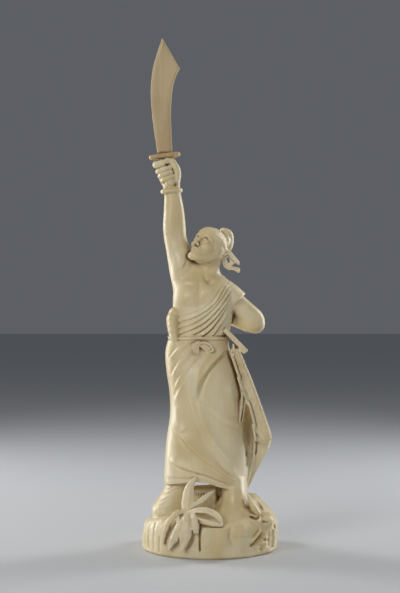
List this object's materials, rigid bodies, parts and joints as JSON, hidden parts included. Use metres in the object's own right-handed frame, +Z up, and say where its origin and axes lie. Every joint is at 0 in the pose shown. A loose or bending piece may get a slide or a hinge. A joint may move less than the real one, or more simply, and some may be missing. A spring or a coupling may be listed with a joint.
{
  "type": "carved warrior figurine",
  "caption": "Tall carved ivory warrior in a wrapped robe, right arm raised with a broad curved sword, left arm bent behind the back, standing on a rock base with ferns.",
  "frame": {"origin": "middle of the flat underside of the rock base", "axes": "+Z up along the standing figure to the sword's tip, -Y the way the chest faces, +X to the side of the hip with the scabbard"},
  "size_m": [0.1057, 0.1084, 0.4],
  "materials": {
    "ivory": null,
    "blade_ivory": null
  },
  "bodies": {
    "root": {"carved_warrior": "ivory", "sword": "blade_ivory"}
  },
  "joints": []
}
